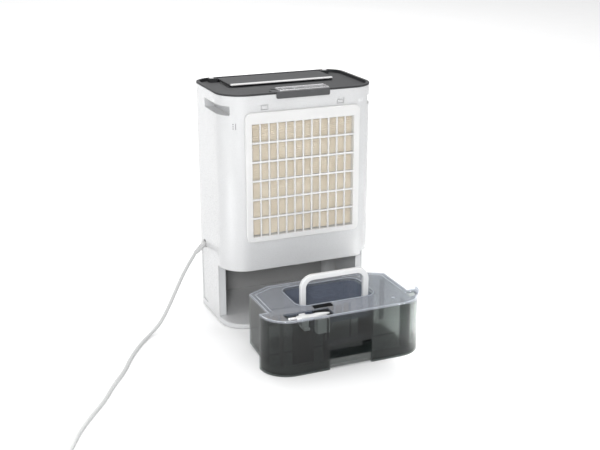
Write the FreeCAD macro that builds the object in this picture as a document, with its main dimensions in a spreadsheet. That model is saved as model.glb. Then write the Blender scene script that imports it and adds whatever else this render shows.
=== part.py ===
import FreeCAD, Part
import math
import os
import re

import Sketcher

# A desiccant dehumidifier whose water tank stands drawn out in front of it.
# Millimetres. +Z is up, +Y goes from the filter face to the back, and +X is to the right of a person
# who faces the filter. The sizes below are laid out about the middle of the casing, and each sub-part's
# Placement then moves it back by half the tank's travel, which puts the origin on the floor under the
# middle of the whole object: the casing and the tank that stands in front of it.

V = FreeCAD.Vector
SIZES = {
    # casing
    "width": 337, "depth": 208, "height": 500, "corner_front": 55, "corner_rear": 38, "wall": 3,
    "gap": 0.3, "foot": 1.5, "base_top": 13.5, "base_lip": 10, "seam": -44, "cap": 496, "deck": 494,
    # bay for the tank
    "bay_top": 130, "bay_half": 152.5, "bay_back": 86, "floor_low": 131, "floor_high": 134,
    # tank, drawn out; its lengths run back from its own front
    "tank_out": 240, "tank_rise": 14.5, "tank_high": 114, "tank_long": 186, "tank_half": 151,
    "tank_nose": 59.5, "tank_wall": 2.5, "tank_floor": 3, "clip_long": 46, "clip_deep": 26,
    "ramp_from": 66, "ramp_high": 10, "grip_half": 45, "grip_deep": 21, "grip_high": 50,
    # handle of the tank
    "handle_back": 82, "handle_half": 74, "handle_leg": 12, "handle_thick": 10, "handle_top": 169,
    "handle_foot": 86, "handle_bar": 11, "well_half": 82, "well_rear": 162, "well_low": 66,
    # outlet flap
    "flap_half": 117.5, "flap_front": 12, "flap_pin_y": 84, "flap_pin_z": 498, "flap_pin": 2,
    # controls
    "tab_half": 58, "button_y": -45, "button_step": 26, "button_long": 14, "button_wide": 8,
    # filter
    "frame_half": 125.5, "frame_low": 192.5, "frame_high": 463, "neck_half": 114.5,
    "neck_low": 200.5, "neck_high": 445, "grid_low": 204, "grid_high": 440, "grid_half": 112,
    "proud": 5,
    # finger openings of the casing's sides, and latches of the filter
    "opening_low": 457, "opening_high": 476, "opening_end": 17.5, "opening_from": 15,
    "latch_x": 83, "latch_low": 468, "latch_high": 474,
    # tray under the condenser, whose spout stands over the inlet of the tank's lid
    "tray_low": 178, "tray_high": 195, "tray_half": 114, "spout_x": -37, "spout_y": -51,
    # rotor, its drive and the plate that carries them
    "rotor_front": -54, "rotor_back": -30, "plate_front": -24, "plate_back": -20,
    "rotor_x": -12, "rotor_z": 320, "rotor_r": 98, "module": 3.5, "rim_teeth": 60, "pinion_teeth": 12,
    "pinion_x": 91.2, "pinion_z": 247.7, "axle": 4,
    # fan
    "fan_x": 0, "fan_z": 318, "fan_r": 76, "casing_half": 96,
    # cord
    "cord": 7, "exit_y": 45, "exit_z": 150,
}

doc = FreeCAD.newDocument("dehumidifier")
sheet = doc.addObject("Spreadsheet::Sheet", "Sizes")
for row, (alias, amount) in enumerate(SIZES.items(), 1):
    sheet.set(f"A{row}", alias)
    sheet.set(f"B{row}", str(amount))
    sheet.setAlias(f"B{row}", alias)
doc.recompute()

ALONG = {
    "x": FreeCAD.Rotation(V(0, 1, 0), 90),
    "y": FreeCAD.Rotation(V(1, 0, 0), -90),
    "z": FreeCAD.Rotation(),
}
PLANES = {"z": "XY_Plane", "y": "XZ_Plane", "x": "YZ_Plane"}
TANK_FRONT = "(-depth/2-tank_out)"
BLADES, BLADE_LEAN = 24, 25
bodies = []


def number(text):
    """What an expression of the sheet's names comes to."""
    return float(sheet.evalExpression(str(text)))


def linked(text):
    """The expression with each name led back to the sheet."""
    return re.sub(r"[a-z_]+", lambda m: ("Sizes." if m.group() in SIZES else "") + m.group(), str(text))


def bind(feature, prop, text):
    feature.setExpression(prop, linked(text))


def new_body(label):
    body = doc.addObject("PartDesign::Body", label)
    body.Label = label
    bind(body, "Placement.Base.y", "tank_out/2")
    bodies.append(body)
    return body


def box(body, x, y, z, cut=False):
    """A box between two expressions along each axis, added to the body or cut from it."""
    feature = body.newObject("PartDesign::SubtractiveBox" if cut else "PartDesign::AdditiveBox", "Box")
    for prop, axis, (low, high) in (("Length", "x", x), ("Width", "y", y), ("Height", "z", z)):
        bind(feature, prop, f"({high})-({low})")
        bind(feature, "Placement.Base." + axis, low)
    return feature


def rod(body, axis, centre, radius, span, cut=False):
    """A cylinder along an axis; centre gives its other two coordinates in x, y, z order."""
    feature = body.newObject(
        "PartDesign::SubtractiveCylinder" if cut else "PartDesign::AdditiveCylinder", "Rod"
    )
    feature.Placement = FreeCAD.Placement(V(0, 0, 0), ALONG[axis])
    bind(feature, "Radius", radius)
    bind(feature, "Height", f"({span[1]})-({span[0]})")
    places = list(centre)
    for name in "xyz":
        bind(feature, "Placement.Base." + name, span[0] if name == axis else places.pop(0))
    return feature


def new_sketch(body, axis, level):
    """A sketch on the origin plane across the axis, moved along it to a level."""
    sketch = body.newObject("Sketcher::SketchObject", "Sketch")
    plane = [o for o in body.Origin.OriginFeatures if o.Role == PLANES[axis]][0]
    sketch.AttachmentSupport = [(plane, "")]
    sketch.MapMode = "FlatFace"
    bind(sketch, "AttachmentOffset.Base.z", f"-({level})" if axis == "y" else level)
    return sketch


def hold(sketch, tag, constraint, text):
    """Adds a named dimension to a sketch and binds it to an expression."""
    index = sketch.addConstraint(constraint)
    sketch.renameConstraint(index, tag)
    bind(sketch, "Constraints." + tag, text)


def rounded(sketch, tag, left, right, low, high, r_low, r_high):
    """A closed rectangle in a sketch, its two low and its two high corners rounded."""
    a, b, c, d, f, r = (number(text) for text in (left, right, low, high, r_low, r_high))
    first = sketch.GeometryCount
    quarter = math.pi / 2
    up = V(0, 0, 1)

    def arc(x, y, radius, turn):
        return Part.ArcOfCircle(Part.Circle(V(x, y, 0), up, radius), turn * quarter, (turn + 1) * quarter)

    sketch.addGeometry([
        Part.LineSegment(V(a + f, c, 0), V(b - f, c, 0)), arc(b - f, c + f, f, 3),
        Part.LineSegment(V(b, c + f, 0), V(b, d - r, 0)), arc(b - r, d - r, r, 0),
        Part.LineSegment(V(b - r, d, 0), V(a + r, d, 0)), arc(a + r, d - r, r, 1),
        Part.LineSegment(V(a, d - r, 0), V(a, c + f, 0)), arc(a + f, c + f, f, 2),
    ], False)
    rule = Sketcher.Constraint
    rules = [rule("Tangent", first + i, 2, first + (i + 1) % 8, 1) for i in range(8)]
    rules += [rule(("Horizontal", "Vertical")[i % 2], first + 2 * i) for i in range(4)]
    sketch.addConstraint(rules)
    hold(sketch, tag + "Left", rule("DistanceX", -1, 1, first + 6, 1, a), left)
    hold(sketch, tag + "Right", rule("DistanceX", -1, 1, first + 2, 1, b), right)
    hold(sketch, tag + "Low", rule("DistanceY", -1, 1, first, 1, c), low)
    hold(sketch, tag + "High", rule("DistanceY", -1, 1, first + 4, 1, d), high)
    for name, index, amount, text in (("A", 1, f, r_low), ("B", 7, f, r_low),
                                      ("C", 3, r, r_high), ("D", 5, r, r_high)):
        hold(sketch, tag + name, rule("Radius", first + index, amount), text)


def outline(sketch, points):
    """A closed outline of straight lines through points, each coordinate an expression."""
    places = [V(number(x), number(y), 0) for x, y in points]
    count = len(points)
    first = sketch.GeometryCount
    sketch.addGeometry([Part.LineSegment(places[i], places[(i + 1) % count]) for i in range(count)], False)
    rule = Sketcher.Constraint
    for i in range(count):
        sketch.addConstraint(rule("Coincident", first + i, 2, first + (i + 1) % count, 1))
    for i, (x, y) in enumerate(points):
        hold(sketch, f"X{i}", rule("DistanceX", -1, 1, first + i, 1, places[i].x), x)
        hold(sketch, f"Y{i}", rule("DistanceY", -1, 1, first + i, 1, places[i].y), y)


def raise_sketch(body, sketch, length, cut=False):
    """Pads a sketch along its plane's positive axis, or cuts it, by a length."""
    doc.recompute()
    before = body.Shape.Volume if cut else 0
    feature = body.newObject("PartDesign::Pocket" if cut else "PartDesign::Pad", "Raise")
    feature.Profile = sketch
    bind(feature, "Length", length)
    if "XZ" in sketch.AttachmentSupport[0][0].Role:
        feature.Reversed = not cut
    else:
        feature.Reversed = cut
    if cut:
        doc.recompute()
        if body.Shape.Volume > before - 1:
            raise RuntimeError(body.Label + ": a pocket cuts nothing")
    return feature


def slab(body, loops, z, axis="z", cut=False):
    """Pads or cuts rounded loops, given as for rounded(), between two levels."""
    sketch = new_sketch(body, axis, z[0])
    for i, loop in enumerate(loops):
        rounded(sketch, "Loop" + "ABC"[i], *loop)
    return raise_sketch(body, sketch, f"({z[1]})-({z[0]})", cut)


def prism(body, points, span, axis="z", cut=False):
    """Pads or cuts a straight-sided outline between two levels along an axis."""
    sketch = new_sketch(body, axis, span[0])
    outline(sketch, points)
    return raise_sketch(body, sketch, f"({span[1]})-({span[0]})", cut)


def soften(body, radius, chosen):
    """Rounds the edges of the body's last feature that a test of their box chooses."""
    doc.recompute()
    last = body.Tip
    names = [f"Edge{i + 1}" for i, edge in enumerate(last.Shape.Edges) if chosen(edge.BoundBox)]
    if not names:
        raise RuntimeError(body.Label + ": no edge to soften")
    feature = body.newObject("PartDesign::Fillet", "Soften")
    feature.Base = (last, names)
    bind(feature, "Radius", radius)
    return feature


def upright(b):
    return b.ZLength > 1 and b.XLength < 0.01 and b.YLength < 0.01


def across(b):
    return b.YLength > 1 and b.XLength < 0.01 and b.ZLength < 0.01


def level_at(height):
    return lambda b: abs(b.ZMin - height) < 0.01 and abs(b.ZMax - height) < 0.01


def casing_loop(inset="0"):
    """The casing's outline in plan, moved inwards by an inset."""
    return (f"-width/2+({inset})", f"width/2-({inset})", f"-depth/2+({inset})", f"depth/2-({inset})",
            f"corner_front-({inset})", f"corner_rear-({inset})")


# ---------------------------------------------------------------- casing


def base_plate():
    body = new_body("base_plate")
    inset = ("-width/2+wall+gap", "width/2-wall-gap", "-depth/2", "depth/2-wall-gap",
             "corner_front-wall-gap", "corner_rear-wall-gap")
    slab(body, [inset], ("foot", "base_top"))
    nose = ("-width/2", "width/2", "-depth/2", "seam-gap", "corner_front", "1")
    slab(body, [nose], ("foot", "base_top"))
    # the lip falls towards the front, so that the tank's flat bottom can ride up over it
    prism(body, [("-depth/2-1", "base_lip"), ("seam-2.5", "base_top"), ("seam-2.5", "base_top+1"),
                 ("-depth/2-1", "base_top+1")], ("-width/2-1", "width/2+1"), "x", cut=True)
    crease = number("seam-2.5")
    soften(body, "2", lambda b: b.ZMin > number("base_lip") - 0.1 and b.YMax < crease + 0.01
           and not (b.YLength < 0.01 and b.YMin > crease - 1))
    box(body, ("-width/2+22", "width/2-22"), ("-depth/2+18", "depth/2-22"), ("0", "base_top-4.5"), cut=True)


def rubber_feet():
    body = new_body("rubber_feet")
    for x in ("-width/2+24", "width/2-24"):
        for y in ("-depth/2+38", "depth/2-30"):
            rod(body, "z", (x, y), "9", ("0", "foot"))


def rear_shell():
    body = new_body("rear_shell")
    slab(body, [casing_loop(), casing_loop("wall")], ("foot", "cap"))
    box(body, ("-width/2-1", "width/2+1"), ("-depth/2-1", "seam"), ("0", "height"), cut=True)
    # finger openings of the two grips, and the shallow groove that the cord can lie in
    box(body, ("-width/2-1", "width/2+1"), ("seam-1", "opening_end"), ("opening_low", "opening_high"), cut=True)
    groove = ("exit_y-12", "depth/2-corner_rear")
    box(body, ("-width/2-1", "-width/2+1.4"), groove, ("15", "exit_z-4"), cut=True)
    rod(body, "x", ("exit_y", "exit_z"), "9", ("-width/2-1", "-width/2+wall+1"), cut=True)
    for place in screw_places():
        rod(body, "y", place, "3.6", ("depth/2-wall-1", "depth/2+1"), cut=True)


def front_cover():
    body = new_body("front_cover")
    slab(body, [casing_loop(), casing_loop("wall")], ("bay_top", "cap"))
    box(body, ("-width/2-1", "width/2+1"), ("seam-gap", "depth/2+1"), ("0", "height"), cut=True)
    box(body, ("-neck_half-1.5", "neck_half+1.5"), ("-depth/2-1", "seam"),
        ("neck_low-1.5", "neck_high+2"), cut=True)
    for ends in (("-width/2-1", "-width/2+21"), ("width/2-21", "width/2+1")):
        box(body, ends, ("-depth/2+opening_from", "seam+1"), ("opening_low", "opening_high"), cut=True)
    # notch that the tank's pour spout passes through
    box(body, ("136", "width/2+1"), ("-depth/2-1", "seam+1"), ("bay_top-1", "bay_top+8"), cut=True)
    for side in (-1, 1):
        x = f"{side}*latch_x"
        box(body, (f"{x}-8", f"{x}+8"), ("-depth/2-1", "-depth/2+wall+1"),
            ("latch_low-1", "latch_high+4"), cut=True)


def filter_latches():
    body = new_body("filter_latches")
    for side in (-1, 1):
        x = f"{side}*latch_x"
        box(body, (f"{x}-10", f"{x}+10"), ("-depth/2+wall+0.1", "-depth/2+wall+2.5"),
            ("latch_low-3", "latch_high+6"))
        box(body, (f"{x}-5", f"{x}+5"), ("-depth/2+0.6", "-depth/2+wall+0.2"), ("latch_low", "latch_high"))


def grip_cup(label, side):
    """A cup behind a side opening: its outside follows the shell and its pocket takes the fingers."""
    body = new_body(label)
    slab(body, [casing_loop("wall+0.2")], ("opening_low-7", "opening_high+8"))
    inner = f"{side}*(width/2-24)"
    far = f"-{side}*(width/2+1)"
    span = (inner, far) if side < 0 else (far, inner)
    box(body, span, ("-depth/2-1", "depth/2+1"), ("opening_low-8", "opening_high+9"), cut=True)
    whole = ("-width/2-1", "width/2+1")
    tall = ("opening_low-8", "opening_high+9")
    box(body, whole, ("opening_end+7.5", "depth/2+1"), tall, cut=True)
    box(body, whole, ("-depth/2-1", "-depth/2+opening_from-4"), tall, cut=True)
    near = f"{side}*(width/2-21)"
    out = f"{side}*(width/2+1)"
    pocket = (out, near) if side < 0 else (near, out)
    box(body, pocket, ("-depth/2+opening_from", "opening_end"), ("opening_low", "opening_high"), cut=True)


def bay_side(label, side):
    body = new_body(label)
    ends = sorted((f"{side}*bay_half", f"{side}*(width/2-wall-0.2)"), key=number)
    box(body, ends, ("seam+0.2", "60"), ("base_top+0.2", "floor_low-0.2"))


def bay_back():
    body = new_body("bay_back")
    box(body, ("-128", "128"), ("bay_back+1.5", "depth/2-wall-1"), ("base_top+0.2", "floor_low-0.2"))
    box(body, ("-60", "100"), ("bay_back", "bay_back+3"), ("60", "floor_low-5"), cut=True)


def machine_floor():
    body = new_body("machine_floor")
    slab(body, [casing_loop("wall+0.4")], ("floor_low", "floor_high"))
    box(body, ("134", "width/2"), ("-depth/2", "seam+4"), ("floor_low-1", "floor_high+1"), cut=True)
    rod(body, "z", ("spout_x", "spout_y"), "7", ("floor_low-1", "floor_high+1"), cut=True)


def top_panel():
    body = new_body("top_panel")
    slab(body, [casing_loop()], ("cap+gap", "height"))
    slab(body, [casing_loop("wall+0.4")], ("deck-4", "cap+gap"))
    soften(body, "1.5", level_at(number("height")))
    slab(body, [casing_loop("7")], ("deck", "height+1"), cut=True)
    slab(body, [casing_loop("wall+3")], ("deck-5", "deck-3"), cut=True)
    # bosses that carry the flap's pins
    for side in (-1, 1):
        ends = sorted((f"{side}*(flap_half+2)", f"{side}*(flap_half+20)"), key=number)
        box(body, ends, ("flap_pin_y-7", "flap_pin_y+7"), ("deck-1", "height+1.5"))
    pins = ("-flap_half-14", "flap_half+14")
    rod(body, "x", ("flap_pin_y", "flap_pin_z"), "flap_pin+0.1", pins, cut=True)
    # outlet, slot of the fascia, and the openings of the buttons
    outlet = ("-flap_half-1.5", "flap_half+1.5")
    slot = ("-tab_half-0.5", "tab_half+0.5")
    box(body, outlet, ("flap_front+3", "flap_pin_y+9"), ("deck-6", "height+2"), cut=True)
    box(body, slot, ("-depth/2-1", "-depth/2+8"), ("deck", "height+1"), cut=True)
    for index in range(4):
        x = f"button_step*({index}-1.5)"
        box(body, (f"{x}-button_long/2-0.4", f"{x}+button_long/2+0.4"),
            ("button_y-button_wide/2-0.4", "button_y+button_wide/2+0.4"), ("deck-6", "deck+1"), cut=True)


def flap():
    body = new_body("outlet_flap")
    box(body, ("-flap_half", "flap_half"), ("flap_front", "flap_pin_y+4"), ("height-3.4", "height+0.6"))
    soften(body, "1.5", lambda b: b.XLength > 100 and b.ZMin > number("height"))
    strip = new_body("flap_strip")
    box(strip, ("-flap_half+3", "flap_half-3"), ("flap_front-7", "flap_front"),
        ("height-2.6", "height+0.6"))
    soften(strip, "1.2", lambda b: b.XLength > 100 and b.YMax < number("flap_front-6.9"))
    pins = new_body("flap_pins")
    rod(pins, "x", ("flap_pin_y", "flap_pin_z"), "flap_pin", ("flap_half", "flap_half+13"))
    rod(pins, "x", ("flap_pin_y", "flap_pin_z"), "flap_pin", ("-flap_half-13", "-flap_half"))
    caps = new_body("flap_pin_caps")
    for side in (-1, 1):
        rod(caps, "z", (f"{side}*(flap_half+13)", "flap_pin_y"), "5", ("height+1.5", "height+2.4"))


# ---------------------------------------------------------------- controls


def fascia():
    body = new_body("control_fascia")
    box(body, ("-tab_half", "tab_half"), ("-depth/2-2.6", "-depth/2-gap"), ("height-13", "height+0.4"))
    soften(body, "3", lambda b: across(b) and b.ZMax < number("height") - 10)
    box(body, ("-tab_half", "tab_half"), ("-depth/2-gap", "-depth/2+6"), ("height-2.5", "height+0.4"))
    box(body, ("-tab_half", "tab_half"), ("-depth/2+6", "-depth/2+40"), ("deck+0.1", "deck+3"))
    box(body, ("-tab_half", "tab_half"), ("-depth/2+5", "-depth/2+7"), ("deck+0.1", "height+0.4"))
    bezel = new_body("display_bezel")
    x = ("-tab_half+9", "tab_half-3")
    box(bezel, x, ("-depth/2+8", "-depth/2+38"), ("deck+3", "deck+5.5"))
    box(bezel, ("-tab_half+12", "tab_half-6"), ("-depth/2+11", "-depth/2+35"),
        ("deck+2", "deck+6"), cut=True)
    window = new_body("display_window")
    box(window, ("-tab_half+12.2", "tab_half-6.2"), ("-depth/2+11.2", "-depth/2+34.8"),
        ("deck+3", "deck+4.8"))


def buttons():
    for index, name in enumerate(("power", "mode", "timer", "swing")):
        body = new_body("button_" + name)
        x = f"button_step*({index}-1.5)"
        box(body, (f"{x}-button_long/2", f"{x}+button_long/2"),
            ("button_y-button_wide/2", "button_y+button_wide/2"), ("deck-3.5", "deck+1.2"))
        soften(body, "1", upright)
        box(body, (f"{x}-2", f"{x}+2"), ("button_y-2", "button_y+2"), ("deck-8", "deck-3"))
    board = new_body("control_board")
    box(board, ("-tab_half", "tab_half"), ("-depth/2+12", "-20"), ("deck-12", "deck-10.4"))


# ---------------------------------------------------------------- filter


def filter_frame():
    body = new_body("filter_frame")
    box(body, ("-frame_half", "frame_half"), ("-depth/2-proud", "-depth/2-gap"),
        ("frame_low", "frame_high"))
    soften(body, "13", across)
    soften(body, "2", lambda b: b.YMax < number("-depth/2-proud") + 0.01)
    box(body, ("-neck_half", "neck_half"), ("-depth/2-gap-0.5", "-depth/2+20"), ("neck_low", "neck_high"))
    box(body, ("-grid_half", "grid_half"), ("-depth/2-proud-1", "-depth/2+21"),
        ("grid_low", "grid_high"), cut=True)
    front, back = "-depth/2-2.5", "-depth/2+1.5"
    for index in range(1, 12):
        x = f"grid_half*({index}/6-1)"
        box(body, (f"{x}-1.4", f"{x}+1.4"), (front, back), ("grid_low-1", "grid_high+1"))
    for index in range(1, 6):
        z = f"grid_low+(grid_high-grid_low)*{index}/6"
        box(body, ("-grid_half-1", "grid_half+1"), (front + "-0.5", back), (f"{z}-1.9", f"{z}+1.9"))
    pack = new_body("filter_pack")
    box(pack, ("-grid_half+0.5", "grid_half-0.5"), ("-depth/2+2", "-depth/2+19"),
        ("grid_low+0.5", "grid_high-0.5"))


# ---------------------------------------------------------------- tank


def behind(text):
    """A place a given length behind the tank's front."""
    return f"{TANK_FRONT}+({text})"


def tank_loops(inset):
    """The tank's nose and body in plan: a rounded loop and a list of points."""
    nose = (f"-width/2+{inset}", f"width/2-{inset}", behind(inset), behind(f"tank_nose-{inset}"),
            f"corner_front-{inset}", "1")
    half, rear = f"tank_half-{inset}", behind(f"tank_long-{inset}")
    slant = f"{inset}*0.6"
    near, clip = behind("tank_nose-10"), behind(f"tank_long-clip_deep-{slant}")
    corner = f"tank_half-clip_long-{slant}"
    points = [(f"-({half})", near), (half, near), (half, clip), (corner, rear), (f"-({corner})", rear),
              (f"-({half})", clip)]
    return nose, points


def tank_shell():
    body = new_body("tank_shell")
    nose, points = tank_loops("0")
    top = "tank_high-3"
    slab(body, [nose], ("0", top))
    box(body, ("-tank_half", "tank_half"), (behind("tank_nose-10"), behind("tank_long")), ("0", top))
    nose, points = tank_loops("tank_wall")
    slab(body, [nose], ("tank_floor", "tank_high"), cut=True)
    prism(body, points, ("tank_floor", "tank_high"), cut=True)
    # the bottom rises towards the rear, so that it clears the base as the tank slides up over it
    ramp = [(behind("ramp_from"), "0.5"), (behind("tank_long-1"), "ramp_high"),
            (behind("tank_long-1"), "ramp_high+tank_floor"), (behind("ramp_from"), "tank_floor")]
    prism(body, ramp, ("-tank_half+1", "tank_half-1"), "x")
    under = [(behind("ramp_from"), "-1"), (behind("tank_long+1"), "-1"),
             (behind("tank_long+1"), "ramp_high"), (behind("ramp_from"), "0")]
    prism(body, under, ("-width/2", "width/2"), "x", cut=True)
    for side in (-1, 1):
        prism(body, [(f"{side}*tank_half", behind("tank_long-clip_deep")),
                     (f"{side}*(tank_half+5)", behind("tank_long-clip_deep")),
                     (f"{side}*(tank_half+5)", behind("tank_long+5")),
                     (f"{side}*(tank_half-clip_long)", behind("tank_long+5")),
                     (f"{side}*(tank_half-clip_long)", behind("tank_long"))], ("-1", "tank_high"), cut=True)
    # finger recess at the foot of the front, with a wall behind it
    box(body, ("-grip_half-tank_wall", "grip_half+tank_wall"),
        (behind("tank_wall-1"), behind("grip_deep+tank_wall")), ("0", "grip_high+tank_wall"))
    box(body, ("-grip_half", "grip_half"), (behind("-1"), behind("grip_deep")), ("-1", "grip_high"), cut=True)


def tank_lid():
    body = new_body("tank_lid")
    nose, points = tank_loops("0")
    slab(body, [nose], ("tank_high-3", "tank_high"))
    prism(body, points, ("tank_high-3", "tank_high"))
    # pour spout: a lip that stands along the right front corner
    inner = ("-width/2+3", "width/2-3", behind("3"), behind("tank_nose-1"), "corner_front-3", "1")
    slab(body, [nose, inner], ("tank_high-1", "tank_high+8"))
    over = ("tank_high", "tank_high+9")
    box(body, ("-width/2-1", "140"), (behind("-1"), behind("tank_nose+1")), over, cut=True)
    box(body, ("139", "width/2+1"), (behind("tank_nose-8"), behind("tank_nose+1")), over, cut=True)
    box(body, ("140", "160"), (behind("26"), behind("48")), ("tank_high-4", "tank_high+1"), cut=True)
    # openings for the handle well, the drip spout and the float lever
    well = ("-well_half-2", "well_half+2", behind("well_rear-98"), behind("well_rear+2"), "6", "22")
    slab(body, [well], ("tank_high-4", "tank_high+1"), cut=True)
    box(body, ("-60", "-18"), (behind("42"), behind("60")), ("tank_high-4", "tank_high+1"), cut=True)
    box(body, ("-128", "-34"), (behind("6"), behind("40")), ("tank_high-4", "tank_high+1"), cut=True)


def handle_well():
    body = new_body("handle_well")
    tub = ("-well_half", "well_half", behind("well_rear-94"), behind("well_rear"), "4", "20")
    room = ("-well_half+2", "well_half-2", behind("well_rear-92"), behind("well_rear-2"), "2", "18")
    slab(body, [tub], ("well_low", "tank_high-3.3"))
    slab(body, [room], ("well_low+2", "tank_high"), cut=True)
    y = (behind("handle_back-handle_thick/2-2.6"), behind("handle_back+handle_thick/2+2.6"))
    bore_y = (behind("handle_back-handle_thick/2-0.6"), behind("handle_back+handle_thick/2+0.6"))
    for side in (-1, 1):
        x = sorted((f"{side}*(handle_half-handle_leg-2.6)", f"{side}*(handle_half+2.6)"), key=number)
        rib = sorted((f"{side}*(handle_half-5)", f"{side}*(handle_half+4)"), key=number)
        bore = sorted((f"{side}*(handle_half-handle_leg-0.6)", f"{side}*(handle_half+0.6)"), key=number)
        box(body, x, y, ("tank_floor+2.4", "well_low+1"))
        box(body, rib, y, ("well_low+1", "tank_high-5"))
        box(body, bore, bore_y, ("tank_floor+3.8", "tank_high"), cut=True)


def tank_handle():
    body = new_body("tank_handle")
    slab(body, [("-handle_half", "handle_half", "handle_foot", "handle_top", "2", "26")],
         (behind("handle_back-handle_thick/2"), behind("handle_back+handle_thick/2")), "y")
    inside = ("-handle_half+handle_leg", "handle_half-handle_leg", "handle_foot-20",
              "handle_top-handle_bar", "2", "15")
    slab(body, [inside], (behind("handle_back-handle_thick/2-1"), behind("handle_back+handle_thick/2+1")),
         "y", cut=True)
    front, back = number(behind("handle_back-handle_thick/2")), number(behind("handle_back+handle_thick/2"))
    soften(body, "2.5", lambda b: b.YLength < 0.01 and min(abs(b.YMin - front), abs(b.YMin - back)) < 0.01
           and b.ZMax > number("handle_foot+3"))


def float_parts():
    pin_x, pin_z = "-92", "tank_high-6"
    bracket = new_body("float_bracket")
    wide = (f"{pin_x}-6", f"{pin_x}+6")
    for y in ("10", "28"):
        box(bracket, wide, (behind(y), behind(f"{y}+3")), ("tank_high-22", "tank_high"))
    box(bracket, wide, (behind("tank_wall+0.1"), behind("31")), ("tank_high-24", "tank_high-20"))
    rod(bracket, "y", (pin_x, pin_z), "2", (behind("9"), behind("32")), cut=True)
    pin = new_body("float_pin")
    rod(pin, "y", (pin_x, pin_z), "1.9", (behind("9.5"), behind("31.5")))
    lever = new_body("float_lever")
    box(lever, (f"{pin_x}-14", "-66"), (behind("14"), behind("27")), (f"{pin_z}-4", f"{pin_z}+5"))
    wing = [("-67", behind("14")), ("-40", behind("18")), ("-38", behind("23")), ("-67", behind("27"))]
    prism(lever, wing, (f"{pin_z}+1", f"{pin_z}+5"))
    rod(lever, "y", (pin_x, pin_z), "2", (behind("13"), behind("28")), cut=True)
    magnet = new_body("float_magnet")
    rod(magnet, "x", (behind("20.5"), f"{pin_z}+0.5"), "5.5", (f"{pin_x}-33", f"{pin_x}-14"))
    block = new_body("float_block")
    box(block, ("-66", "-40"), (behind("12"), behind("29")), (f"{pin_z}-34", f"{pin_z}-4"))
    box(block, ("-66", "-62"), (behind("18"), behind("23")), (f"{pin_z}-5", f"{pin_z}+1"))
    soften(block, "2", lambda b: upright(b) and b.ZLength > 20)


# ---------------------------------------------------------------- machinery


def gear_teeth(body, teeth, sketch, thick):
    """Trapezoid teeth round the z axis, one padded tooth repeated by a polar pattern."""
    radius = number(f"module*{teeth}/2")
    module = SIZES["module"]
    half = math.pi * module / 4 * 0.8
    root, tip = radius - 0.95 * module, radius + 0.8 * module
    places = ((-half * 1.5, root - 1), (half * 1.5, root - 1), (half * 1.35, root),
              (half * 0.62, tip), (-half * 0.62, tip), (-half * 1.35, root))
    outline(sketch, [(f"{x:.4f}", f"{y:.4f}") for x, y in places])
    tooth = raise_sketch(body, sketch, thick)
    pattern = body.newObject("PartDesign::PolarPattern", "Teeth")
    pattern.Originals = [tooth]
    pattern.Axis = (sketch, ["N_Axis"])
    pattern.Angle = 360
    bind(pattern, "Occurrences", teeth)
    body.Tip = pattern


def stand_gear(body, x, y, z, spin=0):
    """Turns a gear made round z so that its axis lies along y, and puts it in place."""
    turn = FreeCAD.Rotation(V(1, 0, 0), -90) * FreeCAD.Rotation(V(0, 0, 1), spin)
    body.Placement = FreeCAD.Placement(V(0, 0, 0), turn)
    for axis, text in zip("xyz", (x, f"{y}+tank_out/2", z)):
        bind(body, "Placement.Base." + axis, text)


def rotor():
    block = new_body("zeolite_rotor")
    rod(block, "y", ("rotor_x", "rotor_z"), "rotor_r-1", ("rotor_front", "rotor_back"))
    rod(block, "y", ("rotor_x", "rotor_z"), "11", ("-60", "-20"), cut=True)
    hub = new_body("rotor_hub")
    rod(hub, "y", ("rotor_x", "rotor_z"), "10.8", ("rotor_front-2", "rotor_back+2"))
    rod(hub, "y", ("rotor_x", "rotor_z"), "axle+0.1", ("-60", "-20"), cut=True)
    rim = new_body("rotor_rim")
    sketch = new_sketch(rim, "z", "0")
    rod(rim, "z", ("0", "0"), "module*rim_teeth/2-0.9*module", ("0", "10"))
    rod(rim, "z", ("0", "0"), "rotor_r-0.5", ("-1", "11"), cut=True)
    gear_teeth(rim, "rim_teeth", sketch, "10")
    stand_gear(rim, "rotor_x", "-47", "rotor_z")
    axle = new_body("rotor_axle")
    rod(axle, "y", ("rotor_x", "rotor_z"), "axle", ("-60", "-19"))


def pinion():
    body = new_body("drive_pinion")
    sketch = new_sketch(body, "z", "0")
    rod(body, "z", ("0", "0"), "module*pinion_teeth/2-0.9*module", ("0", "12"))
    gear_teeth(body, "pinion_teeth", sketch, "12")
    # a tooth gap of the pinion faces a tooth of the rim along the line between their axes
    rise, run = SIZES["rotor_z"] - SIZES["pinion_z"], SIZES["rotor_x"] - SIZES["pinion_x"]
    line = math.degrees(math.atan2(rise, run))
    pitch = 360 / SIZES["rim_teeth"]
    rim_phase = ((line + 180) - 90) % pitch / pitch
    spin = (line - 90) - (0.5 - rim_phase) * 360 / SIZES["pinion_teeth"]
    stand_gear(body, "pinion_x", "-48", "pinion_z", -spin)
    shaft = new_body("pinion_shaft")
    rod(shaft, "y", ("pinion_x", "pinion_z"), "3", ("-36", "-20"))
    motor = new_body("rotor_motor")
    rod(motor, "y", ("pinion_x", "pinion_z"), "25", ("-19.5", "-3"))


def rotor_frame():
    body = new_body("rotor_frame")
    plate = ("plate_front", "plate_back")
    through = ("plate_front-2", "plate_back+2")
    box(body, ("-neck_half-8", "neck_half+8"), plate, ("198", "450"))
    rod(body, "y", ("rotor_x", "rotor_z"), "rotor_r-4", through, cut=True)
    box(body, ("rotor_x-rotor_r", "rotor_x+rotor_r"), plate, ("rotor_z-8", "rotor_z+8"))
    rod(body, "y", ("rotor_x", "rotor_z"), "axle", through, cut=True)
    rod(body, "y", ("pinion_x", "pinion_z"), "3.4", through, cut=True)


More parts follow.
